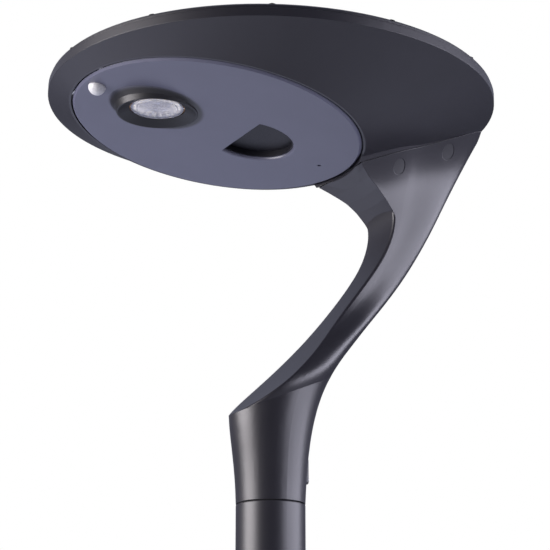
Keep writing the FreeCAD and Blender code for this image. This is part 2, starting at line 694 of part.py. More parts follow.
def panel_cells():
    """Square cells in a grid, trimmed by the round field."""
    pitch = CELL_SIDE + CELL_GAP
    reach = int(CELL_FIELD_R // pitch) + 1
    field = disc(CELL_FIELD_R, CELL_Z - 1, GLASS_Z + 1)
    cells = []
    for i in range(-reach, reach):
        for j in range(-reach, reach):
            x, y = (i + 0.5) * pitch, (j + 0.5) * pitch
            if math.hypot(x, y) > CELL_FIELD_R - 0.35 * CELL_SIDE + 12:
                continue
            square = block(x - CELL_SIDE / 2, x + CELL_SIDE / 2, y - CELL_SIDE / 2,
                           y + CELL_SIDE / 2, CELL_Z, GLASS_Z)
            far = math.hypot(abs(x) + CELL_SIDE / 2, abs(y) + CELL_SIDE / 2)
            cells.append(square if far < CELL_FIELD_R else square.common(field))
    return moved(Part.makeCompound([s for c in cells for s in c.Solids]), HEAD)


def panel_tray():
    x, half = junction_centre(), TRAY_SLOT / 2
    slot = block(x - half, x + half, JUNCTION_Y - half, JUNCTION_Y + half, TRAY_SEAT - 1, SHEET_Z + 1)
    return moved(disc(GLASS_R - 1, TRAY_SEAT, SHEET_Z).cut(slot), HEAD)


def junction_centre():
    """The box sits beside the battery, clear of the lid's ears."""
    ear = max(x for x, y in lid_screw_places()) + LID_EAR_R
    return -(ear + JUNCTION_GAP + JUNCTION_SIDE / 2)


def panel_junction_box():
    x, half = junction_centre(), JUNCTION_SIDE / 2
    body = rounded_block(x - half, x + half, JUNCTION_Y - half, JUNCTION_Y + half,
                         TRAY_SEAT - JUNCTION_H, TRAY_SEAT, 5)
    return moved(body, HEAD)


# ---- battery and controller, hung from the tray ---------------------------------------------------
def battery_spans():
    pitch = 2 * BATTERY_CELL_R + BATTERY_GAP
    half_x = BATTERY_COLS * BATTERY_CELL_L / 2 + BATTERY_GAP
    half_y = BATTERY_ROWS * pitch / 2
    return pitch, half_x, half_y


def lid_screw_places():
    pitch, half_x, half_y = battery_spans()
    x = half_x + BATTERY_WALL + LID_EAR_R - LID_EAR_OVERLAP
    return [(sx * x, BATTERY_Y + sy * (half_y - 10.0)) for sx in (-1, 1) for sy in (-1, 1)]


def battery_outline(low, high):
    pitch, half_x, half_y = battery_spans()
    w = BATTERY_WALL
    body = rounded_block(-half_x - w, half_x + w, BATTERY_Y - half_y - w, BATTERY_Y + half_y + w,
                         low, high, 3)
    return join([body] + [disc(LID_EAR_R, low, high, x, y) for x, y in lid_screw_places()])


def battery_floor():
    return TRAY_SEAT - BATTERY_WALL - 2 * BATTERY_CELL_R


def battery_box():
    pitch, half_x, half_y = battery_spans()
    low = battery_floor()
    body = battery_outline(low, TRAY_SEAT)
    body = body.cut(block(-half_x, half_x, BATTERY_Y - half_y, BATTERY_Y + half_y,
                          low - 1, TRAY_SEAT - BATTERY_WALL))
    for x, y in lid_screw_places():
        body = body.cut(disc(LID_SCREW_R, low - 1, low + 10, x, y))
    return moved(body, HEAD)


def battery_cells():
    pitch, half_x, half_y = battery_spans()
    z = TRAY_SEAT - BATTERY_WALL - BATTERY_CELL_R
    cells = []
    for row in range(BATTERY_ROWS):
        y = BATTERY_Y - half_y + pitch * (row + 0.5)
        for col in range(BATTERY_COLS):
            x = -half_x + BATTERY_GAP / 2 + col * (BATTERY_CELL_L + BATTERY_GAP)
            cells.append(bar(BATTERY_CELL_R, Vector(x, y, z), Vector(x + BATTERY_CELL_L, y, z)))
    return moved(Part.makeCompound(cells), HEAD)


def battery_lid():
    high = battery_floor()
    body = battery_outline(high - LID_T, high)
    for x, y in lid_screw_places():
        body = body.cut(disc(LID_SCREW_R, high - LID_T - 1, high + 1, x, y))
    return moved(body, HEAD)


def lid_screws():
    seat = battery_floor() - LID_T
    screws = []
    for x, y in lid_screw_places():
        shank = disc(LID_SCREW_R, seat, seat + LID_T + 8, x, y)
        head = disc(2.4, seat - 1.8, seat, x, y)
        screws.append(join([shank, head]).cut(disc(1.0, seat - 3, seat - 0.6, x, y)))
    return moved(Part.makeCompound(screws), HEAD)


def controller_case():
    x0, x1 = CASE_X - CASE_W / 2, CASE_X + CASE_W / 2
    y0, y1 = BATTERY_Y - CASE_L / 2, BATTERY_Y + CASE_L / 2
    low = TRAY_SEAT - CASE_H
    w = CASE_WALL
    body = rounded_block(x0, x1, y0, y1, low, TRAY_SEAT, 3)
    body = body.cut(block(x0 + w, x1 - w, y0 + w, y1 - w, low + w, TRAY_SEAT - w))
    return moved(body.cut(switch_window()), HEAD)


def switch_centre():
    return CASE_X, BATTERY_Y - CASE_L / 2 + 20.0, TRAY_SEAT - CASE_H


def switch_window():
    x, y, z = switch_centre()
    return block(x - ROCKER_W / 2 - 2, x + ROCKER_W / 2 + 2, y - ROCKER_L / 2 - 2,
                 y + ROCKER_L / 2 + 2, z - 1, z + CASE_WALL + 1)


def switch_frame():
    x, y, z = switch_centre()
    body = block(x - ROCKER_W / 2 - 2, x + ROCKER_W / 2 + 2, y - ROCKER_L / 2 - 2,
                 y + ROCKER_L / 2 + 2, z, z + 10)
    flange = block(x - ROCKER_W / 2 - 3.5, x + ROCKER_W / 2 + 3.5, y - ROCKER_L / 2 - 3.5,
                   y + ROCKER_L / 2 + 3.5, z - 1.5, z)
    well = block(x - ROCKER_W / 2 - PART_GAP, x + ROCKER_W / 2 + PART_GAP,
                 y - ROCKER_L / 2 - PART_GAP - 0.4, y + ROCKER_L / 2 + PART_GAP + 0.4, z - 5, z + 8)
    pin = bar(1.0 + RUN_CLEAR, Vector(x - ROCKER_W / 2 - 1.5, y, z + 2),
              Vector(x + ROCKER_W / 2 + 1.5, y, z + 2))
    return moved(join([body, flange]).cut(well).cut(pin), HEAD)


def switch_rocker():
    x, y, z = switch_centre()
    half = ROCKER_L / 2
    outline = [Vector(x - ROCKER_W / 2, y + dy, z + dz) for dy, dz in
               ((-half, -3.6), (0, -1.2), (half, -3.6 + 0.6), (half - 1.4, 2.6), (0, 4.2),
                (-half + 1.4, 2.6))]
    body = Part.Face(Part.makePolygon(outline + outline[:1])).extrude(X * ROCKER_W)
    pin = bar(1.0, Vector(x - ROCKER_W / 2 - 1.1, y, z + 2), Vector(x + ROCKER_W / 2 + 1.1, y, z + 2))
    return moved(join([body, pin]), HEAD)


def controller_board():
    x0, x1 = CASE_X - CASE_W / 2, CASE_X + CASE_W / 2
    y0, y1 = BATTERY_Y - CASE_L / 2, BATTERY_Y + CASE_L / 2
    z = TRAY_SEAT - CASE_WALL - 4
    body = block(x0 + CASE_WALL, x1 - CASE_WALL, y0 + CASE_WALL, y1 - CASE_WALL, z - 1.6, z)
    return moved(body, HEAD)


def controller_parts():
    x0 = CASE_X - CASE_W / 2 + 8
    y1 = BATTERY_Y + CASE_L / 2 - 8
    z = TRAY_SEAT - CASE_WALL - 5.6
    items = [block(x0, x0 + 16, y1 - 16, y1, z - 9, z), block(x0 + 21, x0 + 33, y1 - 14, y1, z - 5, z)]
    items += [disc(4.0, z - 10, z, x0 + 4 + 10 * k, y1 - 24) for k in range(4)]
    items.append(block(x0, x0 + 30, y1 - 38, y1 - 30, z - 8, z))
    return moved(Part.makeCompound(items), HEAD)


# ---- service plate and what rides on it ------------------------------------------------------------
def half_moon(radius, chord, low, high):
    body = disc(radius, low, high, 0, GRIP_CENTRE)
    return body.common(block(-radius, radius, chord, GRIP_CENTRE + radius, low, high))


def grip_hole():
    straight = half_moon(GRIP_R, GRIP_CHORD, -1, PLATE_T + 1)
    mouth = turned([(0, -0.01), (GRIP_R + 3, -0.01), (GRIP_R + 0.9, 0.9), (GRIP_R, 3), (0, 3)],
                   0, GRIP_CENTRE)
    return straight.fuse(mouth.common(block(-90, 90, GRIP_CHORD, 130, -2, 5)))


def crater():
    """Raised rim round the lamp: level at its edge, blending into the tilted plate."""
    wires = [Part.Wire(moved(Part.makeCircle(CRATER_BASE_R, Vector(0, 0, 0)), crater_frame(-0.5)))]
    for f in CRATER_BLEND:
        r = CRATER_RIM_R + (CRATER_BASE_R - CRATER_RIM_R) * (1 - f) ** 2
        wires.append(Part.Wire(moved(Part.makeCircle(r, Vector(0, 0, 0)), crater_frame(f))))
    boss = moved(disc(SINK_BOSS_R, 2, SINK_SEAT), lamp_frame())
    return Part.makeLoft(wires, True, True), boss


def crater_frame(f):
    """Between the plate's face (0) and the lamp's rim (1), in the plate's frame."""
    return Placement(Vector(0, -LAMP_FORWARD - CRATER_BASE_SHIFT * (1 - f), -LAMP_DROP * f),
                     Rotation(X, PLATE_TILT * max(f, 0)))


def lamp_frame():
    return PLATE.inverse() * LAMP


def lamp_cutter():
    mouth = CRATER_RIM_R - CRATER_LIP
    body = turned([(0, -1), (mouth + MOUTH_FLARE, -1), (mouth, 0),
                   (LAMP_BORE_R, FUNNEL_Z + FUNNEL_T), (LAMP_BORE_R, SINK_SEAT + 30),
                   (0, SINK_SEAT + 30)])
    return moved(body, lamp_frame())


def service_plate():
    disk = turned([(0, 0), (PLATE_R - PLATE_CHAMFER, 0), (PLATE_R, PLATE_CHAMFER),
                   (PLATE_R, PLATE_T), (0, PLATE_T)])
    wall, boss = crater()
    knuckles = []
    for side in (-1, 1):
        x0, x1 = sorted((side * KNUCKLE_X[0], side * KNUCKLE_X[1]))
        knuckles.append(bar(KNUCKLE_R, hinge_line(x0), hinge_line(x1)))
        knuckles.append(block(x0, x1, hinge_line(0).y, hinge_line(0).y + 10, 3, PLATE_T + 1.5))
    body = join([disk, wall, boss] + knuckles, False)
    cutters = [lamp_cutter(), grip_hole(), disc(PIN_HOLE_R, -1, PLATE_T + 1, 0, PIN_HOLE_BACK),
               disc(PIR_R, -1, PLATE_T + 1, 0, -PIR_FORWARD)]
    for side in (-1, 1):
        cutters.append(bar(HINGE_PIN_R, hinge_line(side * HINGE_PIN_X[0]), hinge_line(side * 80)))
    for x, y in sink_screw_places():
        cutters.append(moved(disc(1.5, SINK_SEAT - 8, SINK_SEAT + 1, x, y), lamp_frame()))
    return moved(largest(cut_all(body, cutters)), PLATE)


def hinge_pins():
    return moved(Part.makeCompound([bar(HINGE_PIN_R, hinge_line(side * HINGE_PIN_X[0]),
                                        hinge_line(side * HINGE_PIN_X[1]))
                                    for side in (-1, 1)]), PLATE)


def plate_seal():
    return moved(ring(SEAL_IN_R + SEAL_W, SEAL_IN_R, PLATE_T, SEAT_Z - PART_GAP), PLATE)


def glare_ring():
    body = turned([(CRATER_RIM_R - CRATER_LIP, 0), (LAMP_BORE_R, FUNNEL_Z + FUNNEL_T),
                   (GLARE_IN_R, FUNNEL_Z + FUNNEL_T), (GLARE_IN_R, FUNNEL_Z),
                   (CRATER_RIM_R - 1.9, 0)])
    return moved(body, LAMP)


def lamp_lens():
    z0, z1 = LENS_FLANGE_Z
    edge, crown = LENS_EDGE_Z, LENS_CROWN
    body = turned([(0, edge - crown), (12, edge - crown * 0.87), (22, edge - crown * 0.57),
                   (30, edge - crown * 0.2), (LENS_R - 0.8, edge), (LENS_R, edge + 0.8),
                   (LENS_R, z0), (LENS_FLANGE_R, z0), (LENS_FLANGE_R, z1), (28, z1), (26, z1 - 3),
                   (0, z1 - 4)])
    return moved(body, LAMP)


def lens_seal():
    return moved(ring(LENS_FLANGE_R, LENS_R, FUNNEL_Z + FUNNEL_T, LENS_FLANGE_Z[0]), LAMP)


def lens_spacer():
    return moved(ring(LENS_FLANGE_R, 31.0, LENS_FLANGE_Z[1], BOARD_Z), LAMP)


def led_board():
    return moved(disc(LENS_FLANGE_R, BOARD_Z, BOARD_Z + BOARD_T), LAMP)


def led_emitters():
    chips = []
    for radius, count in ((EMITTER_RING_R, EMITTERS), (EMITTER_RING_R / 2, EMITTERS // 2)):
        for a in around(count):
            x, y = radius * math.cos(a), radius * math.sin(a)
            chips.append(block(x - 1.75, x + 1.75, y - 1.75, y + 1.75, BOARD_Z - 1.6, BOARD_Z))
    return moved(Part.makeCompound(chips), LAMP)


def sink_screw_places():
    r = (SINK_R + LAMP_BORE_R) / 2 + 0.4
    return [(r * math.cos(a), r * math.sin(a)) for a in around(4, 45)]


def heat_sink():
    top = SINK_SEAT + SINK_BASE_T
    base = disc(SINK_R, SINK_SEAT, top)
    plug = disc(LENS_FLANGE_R, BOARD_Z + BOARD_T, SINK_SEAT)
    reach = int((SINK_R - SINK_FIN_T) // SINK_FIN_PITCH)
    inner = disc(SINK_R, 0, 60)
    fins = []
    for k in range(-reach, reach + 1):
        x = k * SINK_FIN_PITCH
        fin = block(x - SINK_FIN_T / 2, x + SINK_FIN_T / 2, -SINK_R, SINK_R, top - 0.5,
                    top + SINK_FIN_H)
        fins.append(fin.common(inner))
    body = join([base, plug] + fins)
    for x, y in sink_screw_places():
        body = body.cut(disc(1.5, 0, top + 1, x, y)).cut(disc(3.6, top, 60, x, y))
    return moved(largest(body), LAMP)


def sink_screws():
    top = SINK_SEAT + SINK_BASE_T
    screws = []
    for x, y in sink_screw_places():
        screws.append(join([disc(1.5, SINK_SEAT - 7, top, x, y), disc(2.8, top, top + 2.4, x, y)])
                      .cut(disc(1.2, top + 1, top + 5, x, y)))
    return moved(Part.makeCompound(screws), LAMP)


def sensor_dome():
    y = -PIR_FORWARD
    ball = Part.makeSphere(PIR_R, Vector(0, y, 0)).common(block(-20, 20, y - 20, y + 20, -20, 0))
    outer = join([ball, disc(PIR_R, -0.01, PLATE_T, 0, y), disc(PIR_FLANGE_R, PLATE_T, PLATE_T + 1.5, 0, y)])
    inner = join([Part.makeSphere(PIR_R - PIR_WALL, Vector(0, y, 0)),
                  disc(PIR_R - PIR_WALL, 0, PLATE_T + 3, 0, y)])
    return moved(outer.cut(inner), PLATE)


def sensor_board():
    y = -PIR_FORWARD
    z = PLATE_T + 1.5
    return moved(rounded_block(-13, 13, y - 9.5, y + 14, z, z + 1.6, 2), PLATE)


def sensor_can():
    z = PLATE_T + 1.5
    body = join([disc(4.6, z - 4.2, z - 0.6, 0, -PIR_FORWARD), disc(4.9, z - 0.6, z, 0, -PIR_FORWARD)])
    return moved(body, PLATE)


def grip_cup():
    outer = half_moon(GRIP_R + GRIP_WALL, GRIP_CHORD - GRIP_STEP - GRIP_WALL, PLATE_T,
                      GRIP_DEPTH + GRIP_WALL)
    inner = half_moon(GRIP_R - GRIP_STEP, GRIP_CHORD - GRIP_STEP, PLATE_T - 1, GRIP_DEPTH)
    return moved(outer.cut(inner), PLATE)


def latch_bolt():
    low, high = BOLT_Z, BOLT_Z + BOLT_T
    tip = [Vector(-BOLT_HALF, BOLT_TAIL, low), Vector(-BOLT_HALF, BOLT_TIP - 2, low),
           Vector(-BOLT_HALF, BOLT_TIP, low + 2), Vector(-BOLT_HALF, BOLT_TIP, high),
           Vector(-BOLT_HALF, BOLT_TAIL, high)]
    body = Part.Face(Part.makePolygon(tip + tip[:1])).extrude(X * 2 * BOLT_HALF)
    body = body.cut(block(-3.2, 3.2, SPRING_SEAT - BOLT_THROW - 1.6, WINDOW_END, low - 1, high + 1))
    body = body.cut(rounded_block(-2.6, 2.6, PIN_HOLE_BACK - 2.2, PIN_HOLE_BACK + 2.2 - 0.4,
                                  low - 1, high + 1, 1.0))
    return moved(body, PLATE)


def latch_housing():
    gap = PART_GAP
    top = BOLT_Z + BOLT_T + gap
    wide = BOLT_HALF + gap
    body = block(-wide - 4, wide + 4, SPRING_SEAT - 14, PLATE_R - 2, PLATE_T, top + 1.2)
    body = body.cut(block(-wide, wide, 100, PLATE_R, BOLT_Z - gap, top))
    peg = block(-2.4, 2.4, SPRING_SEAT - 1.2, SPRING_SEAT, BOLT_Z - gap - 0.1, top + 0.1)
    edge = disc(PLATE_R - PLATE_CHAMFER, 0, 40)
    return moved(join([body, peg]).common(edge), PLATE)


def latch_spring():
    length = WINDOW_END - SPRING_SEAT
    wire_r, coil_r = 0.3, 1.5
    helix = Part.makeHelix(length / 7.0, length - 2 * wire_r, coil_r)
    profile = Part.Wire(Part.makeCircle(wire_r, Vector(coil_r, 0, 0), Y))
    coil = Part.Wire(helix.Edges).makePipeShell([profile], True, True)
    coil.Placement = Placement(Vector(0, SPRING_SEAT + wire_r, BOLT_Z + BOLT_T / 2),
                               Rotation(X, -90))
    return moved(coil, PLATE)


NODES = {
    "pole_sleeve": pole_sleeve, "sleeve_set_screws": sleeve_set_screws,
    "swivel_spigot": swivel_spigot, "stop_pin": stop_pin, "seam_ring": seam_ring,
    "thrust_washer": thrust_washer,
    "arm_casting": arm_casting, "access_cover": access_cover,
    "access_cover_screws": access_cover_screws, "azimuth_clamp_screws": azimuth_clamp_screws,
    "arm_bolts": arm_bolts, "arm_bolt_plugs": arm_bolt_plugs,
    "joint_gasket": joint_gasket,
    "head_shell": head_shell, "head_tongue": head_tongue, "head_bolts": head_bolts,
    "cable_gland": cable_gland,
    "bezel_ring": bezel_ring, "bezel_screws": bezel_screws, "glass_gasket": glass_gasket,
    "panel_glass": panel_glass, "panel_cells": panel_cells, "panel_backsheet": panel_backsheet,
    "panel_tray": panel_tray, "panel_junction_box": panel_junction_box,
    "battery_box": battery_box, "battery_cells": battery_cells, "battery_lid": battery_lid,
    "lid_screws": lid_screws,
    "controller_case": controller_case, "controller_board": controller_board,
    "controller_parts": controller_parts, "switch_frame": switch_frame,
    "switch_rocker": switch_rocker,
    "service_plate": service_plate, "hinge_pins": hinge_pins, "plate_seal": plate_seal,
    "glare_ring": glare_ring, "lamp_lens": lamp_lens, "lens_seal": lens_seal,
    "lens_spacer": lens_spacer, "led_board": led_board, "led_emitters": led_emitters,
    "heat_sink": heat_sink, "sink_screws": sink_screws,
    "sensor_dome": sensor_dome, "sensor_board": sensor_board, "sensor_can": sensor_can,
    "grip_cup": grip_cup, "latch_bolt": latch_bolt, "latch_housing": latch_housing,
    "latch_spring": latch_spring,
}

os.makedirs("parts", exist_ok=True)
for name, build in NODES.items():
    shape = build()
    print(name, len(shape.Solids), round(shape.Volume / 1000.0, 1), shape.isValid())
    shape.exportStep("parts/%s.step" % name)
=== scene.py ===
# %% [markdown]
# # A solar street lamp, finished in Blender
# The engineering model of the lamp comes first, as a fixed frame: castings, plate, lens, screws and
# batteries, each a separate mesh in metres. This lesson paints every one of them, adds the small
# pieces that engineering leaves out, and lights the whole in a studio.

# %% Load the frame
import json
import math

import bpy
import numpy as np
from mathutils import Matrix, Vector


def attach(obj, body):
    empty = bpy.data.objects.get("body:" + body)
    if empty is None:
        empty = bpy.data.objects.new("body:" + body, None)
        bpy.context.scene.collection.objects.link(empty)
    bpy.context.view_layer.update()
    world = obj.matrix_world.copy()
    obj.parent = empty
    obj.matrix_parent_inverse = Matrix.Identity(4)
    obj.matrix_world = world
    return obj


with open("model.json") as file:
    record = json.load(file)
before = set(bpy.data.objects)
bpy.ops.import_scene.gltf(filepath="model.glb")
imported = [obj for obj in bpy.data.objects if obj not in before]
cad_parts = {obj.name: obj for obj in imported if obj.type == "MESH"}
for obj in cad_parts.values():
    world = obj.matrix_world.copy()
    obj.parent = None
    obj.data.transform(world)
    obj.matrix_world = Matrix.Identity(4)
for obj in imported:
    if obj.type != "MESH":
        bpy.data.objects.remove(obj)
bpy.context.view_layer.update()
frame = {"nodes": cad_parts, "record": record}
nodes = frame["nodes"]

MM = 0.001


# %% [markdown]
# ## Finding places on the lamp
# The head, the service plate and the lamp inside it all lean by different small angles. Each one
# could be typed in as an angle, but a round part already knows its own axis: it is the direction in
# which its points spread least. So every place below is measured on a part of the frame.

# %% Measure a round part
def corners(name):
    mesh = nodes[name].data
    flat = np.zeros(len(mesh.vertices) * 3, np.float32)
    mesh.vertices.foreach_get("co", flat)
    return flat.reshape(-1, 3).astype(float)


def disc_frame(name, up=True):
    """Matrix of a flat round part: its centre, and its thin direction as Z."""
    points = corners(name)
    low, high = points.min(0), points.max(0)
    centre = (low + high) / 2
    spread = np.linalg.svd(points - points.mean(0), full_matrices=False)[2]
    axis = Vector(spread[2]).normalized()
    if (axis.z < 0) == up:
        axis = -axis
    side = Vector((1, 0, 0))
    back = axis.cross(side).normalized()
    turn = Matrix((side, back, axis)).transposed().to_4x4()
    return Matrix.Translation(Vector(centre)) @ turn


def in_frame(matrix, name):
    """A part's corners as seen from a local frame."""
    points = corners(name)
    back = np.array(matrix.inverted())
    return points @ back[:3, :3].T + back[:3, 3]


head_frame = disc_frame("panel_glass")
lamp_frame = disc_frame("led_board")
for label, place in (("panel", head_frame), ("lamp", lamp_frame)):
    lean = math.degrees(Vector((0, 0, 1)).angle(place.to_3x3() @ Vector((0, 0, 1))))
    print(label, "centre", [round(c, 4) for c in place.translation], "leans %.2f degrees" % lean)


# %% [markdown]
# ## Building a finish from nodes
# A paint could be one flat colour, but then it looks like plastic clay. Here each finish is a small
# tree: noise moves the colour and the roughness a little, and a much finer noise becomes a bump. The
# helpers keep those trees short. All patterns read Object coordinates, which stay with the part.

# %% Node helpers
def add(tree, kind, **values):
    item = tree.nodes.new(kind)
    for key, value in values.items():
        if hasattr(item, key):
            setattr(item, key, value)
        else:
            item.inputs[key.replace("_", " ")].default_value = value
    return item


def start_material(name):
    made = bpy.data.materials.new(name)
    made.use_nodes = True
    tree = made.node_tree
    tree.nodes.clear()
    out = tree.nodes.new("ShaderNodeOutputMaterial")
    shader = tree.nodes.new("ShaderNodeBsdfPrincipled")
    tree.links.new(shader.outputs[0], out.inputs[0])
    where = tree.nodes.new("ShaderNodeTexCoord")
    return made, tree, shader, where.outputs["Object"]


def noise(tree, where, scale, detail=3.0, stretch=None):
    if stretch is not None:
        mapping = add(tree, "ShaderNodeMapping")
        mapping.inputs["Scale"].default_value = stretch
        tree.links.new(where, mapping.inputs["Vector"])
        where = mapping.outputs[0]
    item = add(tree, "ShaderNodeTexNoise", Scale=scale, Detail=detail)
    tree.links.new(where, item.inputs["Vector"])
    return item.outputs["Fac"]


NOISE_SPAN = (0.25, 0.75)   # where nearly all of a noise pattern's values lie


def spread(tree, value, low, high):
    """Turns a 0..1 pattern into a range of numbers."""
    item = add(tree, "ShaderNodeMapRange")
    item.inputs["From Min"].default_value = NOISE_SPAN[0]
    item.inputs["From Max"].default_value = NOISE_SPAN[1]
    item.inputs["To Min"].default_value = low
    item.inputs["To Max"].default_value = high
    tree.links.new(value, item.inputs["Value"])
    return item.outputs[0]


def blend_colours(tree, value, first, second, low=0.3, high=0.7):
    ramp = add(tree, "ShaderNodeValToRGB")
    ramp.color_ramp.elements[0].position = low
    ramp.color_ramp.elements[0].color = (*first, 1)
    ramp.color_ramp.elements[1].position = high
    ramp.color_ramp.elements[1].color = (*second, 1)
    tree.links.new(value, ramp.inputs[0])
    return ramp.outputs[0]


def bump(tree, shader, height, strength, distance):
    item = add(tree, "ShaderNodeBump", Strength=strength, Distance=distance)
    tree.links.new(height, item.inputs["Height"])
    tree.links.new(item.outputs[0], shader.inputs["Normal"])
    return item


# %% [markdown]
# ## Paints, metals, rubbers and plastics
# Most finishes on the lamp differ only in a few numbers: colour, how rough, how metallic, and how
# coarse the grain is. One function makes them all, so that a change of recipe reaches every part.
# The castings carry a fine satin powder coat with a trace of orange peel.

# %% One recipe for solid finishes
def solid_finish(name, colour, other, rough, metal=0.0, grain=700.0, depth=0.12, relief=0.00012,
                 stretch=None, patch=14.0, shine=0.5, edge=0.0):
    made, tree, shader, where = start_material(name)
    broad = noise(tree, where, patch, 4.0)
    fine = noise(tree, where, grain, 2.0, stretch)
    tree.links.new(blend_colours(tree, broad, colour, other), shader.inputs["Base Color"])
    tree.links.new(spread(tree, fine, rough[0], rough[1]), shader.inputs["Roughness"])
    shader.inputs["Metallic"].default_value = metal
    shader.inputs["Specular IOR Level"].default_value = shine
    grained = bump(tree, shader, fine, depth, relief)
    if edge:
        softened = add(tree, "ShaderNodeBevel", samples=6, Radius=edge)
        tree.links.new(softened.outputs[0], grained.inputs["Normal"])
    return made


# %% [markdown]
# ## The service plate, with painted light and shade
# The plate carries the same dark satin coat as the shell; its lighter blue-grey colour is painted
# reflection of the light that its face mirrors. Round the lamp the raised rim is painted near-black
# as shade, fading out onto the plate. The mask is a distance from the lamp's centre, found by a
# Mapping node that carries Object coordinates into the lamp's own place.

# %% Plate finish
PAINTED_SHADE_RING = (0.060, 0.066)   # the painted shade round the lamp fades out between these two distances from the lamp's centre
PAINTED_SHADE_COLOUR = (0.008, 0.008, 0.010)


def plate_finish():
    # painted reflection: these tones are lighter and bluer than the shell's coat, standing in for the
    # light the plate's face reflects
    made = solid_finish("plate_coat_painted_light_and_shade", (0.085, 0.088, 0.128), (0.092, 0.095, 0.137), **COAT)
    tree = made.node_tree
    shader = tree.nodes["Principled BSDF"]
    painted_lit_plate_colour = shader.inputs["Base Color"].links[0].from_socket
    where = tree.nodes["Texture Coordinate"].outputs["Object"]
    centred = add(tree, "ShaderNodeMapping", vector_type="TEXTURE")
    centred.inputs["Location"].default_value = lamp_frame.translation
    tree.links.new(where, centred.inputs["Vector"])
    length = add(tree, "ShaderNodeVectorMath", operation="LENGTH")
    tree.links.new(centred.outputs[0], length.inputs[0])
    edge = add(tree, "ShaderNodeMapRange", interpolation_type="SMOOTHSTEP")
    edge.inputs["From Min"].default_value = PAINTED_SHADE_RING[0]
    edge.inputs["From Max"].default_value = PAINTED_SHADE_RING[1]
    tree.links.new(length.outputs["Value"], edge.inputs["Value"])
    # painted shade: near-black within the ring round the lamp, fading to the plate's colour outside
    # it
    mix = add(tree, "ShaderNodeMix", data_type="RGBA")
    tree.links.new(edge.outputs[0], mix.inputs[0])
    mix.inputs[6].default_value = (*PAINTED_SHADE_COLOUR, 1)
    tree.links.new(painted_lit_plate_colour, mix.inputs[7])
    tree.links.new(mix.outputs[2], shader.inputs["Base Color"])
    return made


# %% Finishes by the name of their slot
COAT = dict(rough=(0.37, 0.43), grain=1100.0, depth=0.12, relief=0.00008, edge=0.0009)
finishes = {
    "powder_coat": solid_finish("satin_powder_coat", (0.0135, 0.0130, 0.0175),
                                (0.0160, 0.0155, 0.0205), **COAT),
    "plate_coat": plate_finish(),
    "funnel_black": solid_finish("funnel_black_coat", (0.004, 0.004, 0.005), (0.006, 0.006, 0.007),
                                 rough=(0.38, 0.46), grain=900.0, shine=0.3),
    "cup_black": solid_finish("cup_moulded_black", (0.008, 0.008, 0.012), (0.011, 0.011, 0.015),
                              rough=(0.42, 0.55), grain=800.0, depth=0.2, shine=0.25),
    "bare_cast": solid_finish("bare_casting", (0.44, 0.44, 0.45), (0.55, 0.55, 0.56),
                              rough=(0.38, 0.55), metal=1.0, grain=420.0, depth=0.3, relief=0.0002),
    "tray_aluminium": solid_finish("rolled_aluminium", (0.62, 0.63, 0.64), (0.7, 0.7, 0.71),
                                   rough=(0.25, 0.42), metal=1.0, grain=300.0,
                                   stretch=(1.0, 0.04, 1.0)),
    "stainless": solid_finish("stainless_screws", (0.50, 0.50, 0.49), (0.60, 0.59, 0.58),
                              rough=(0.2, 0.34), metal=1.0, grain=900.0, stretch=(1.0, 1.0, 0.1)),
    "black_screws": solid_finish("blackened_screws", (0.012, 0.012, 0.013), (0.02, 0.02, 0.02),
                                 rough=(0.3, 0.45), grain=900.0),
    "spring_steel": solid_finish("spring_wire", (0.36, 0.36, 0.37), (0.45, 0.45, 0.46),
                                 rough=(0.22, 0.35), metal=1.0),
    "sensor_steel": solid_finish("sensor_can_plating", (0.60, 0.57, 0.50), (0.68, 0.65, 0.58),
                                 rough=(0.2, 0.3), metal=1.0),
    "seal_rubber": solid_finish("seal_rubber", (0.012, 0.012, 0.012), (0.02, 0.02, 0.02),
                                rough=(0.65, 0.85), grain=600.0, depth=0.25),
    "seal_amber": solid_finish("amber_seal", (0.28, 0.13, 0.035), (0.36, 0.18, 0.05),
                               rough=(0.35, 0.5), grain=600.0),
    "nylon": solid_finish("nylon_washer", (0.62, 0.58, 0.50), (0.70, 0.66, 0.58),
                          rough=(0.4, 0.55)),
    "plug_plastic": solid_finish("plug_plastic", (0.020, 0.020, 0.024), (0.026, 0.026, 0.030),
                                 rough=(0.38, 0.5), grain=900.0),
    "black_plastic": solid_finish("black_moulding", (0.014, 0.014, 0.015), (0.022, 0.022, 0.023),
                                  rough=(0.42, 0.6), grain=650.0, depth=0.25),
    "grey_plastic": solid_finish("grey_moulding", (0.16, 0.165, 0.18), (0.19, 0.195, 0.21),
                                 rough=(0.42, 0.58), grain=500.0, depth=0.25),
    "rocker_red": solid_finish("rocker_red", (0.42, 0.012, 0.010), (0.48, 0.018, 0.014),
                               rough=(0.2, 0.3)),
    "cell_wrap": solid_finish("battery_wrap", (0.02, 0.07, 0.30), (0.03, 0.09, 0.36),
                              rough=(0.18, 0.3), grain=300.0),
    "circuit_board": solid_finish("board_green", (0.008, 0.085, 0.030), (0.012, 0.11, 0.04),
                                  rough=(0.25, 0.4), patch=180.0),
    "chip_black": solid_finish("chip_epoxy", (0.015, 0.015, 0.016), (0.025, 0.025, 0.026),
                               rough=(0.45, 0.6)),
    "led_board": solid_finish("lamp_board_white", (0.78, 0.78, 0.76), (0.84, 0.84, 0.82),
                              rough=(0.3, 0.45)),
    "backsheet": solid_finish("backsheet_black", (0.012, 0.012, 0.016), (0.018, 0.018, 0.024),
                              rough=(0.4, 0.55)),
}
print("solid finishes", len(finishes))


# %% [markdown]
# ## Silicon cells
# A silicon cell is nearly black with a blue cast, crossed by hair-thin silver fingers. The fingers
# could be modelled, but there are thousands of them, so a wave of narrow bands paints them. The
# three broad busbars of each cell are real strips and come later.

# %% Silicon
FINGER_PITCH = 1.9 * MM
FINGER_SHARE = 0.965        # a finger is painted where the wave is above this


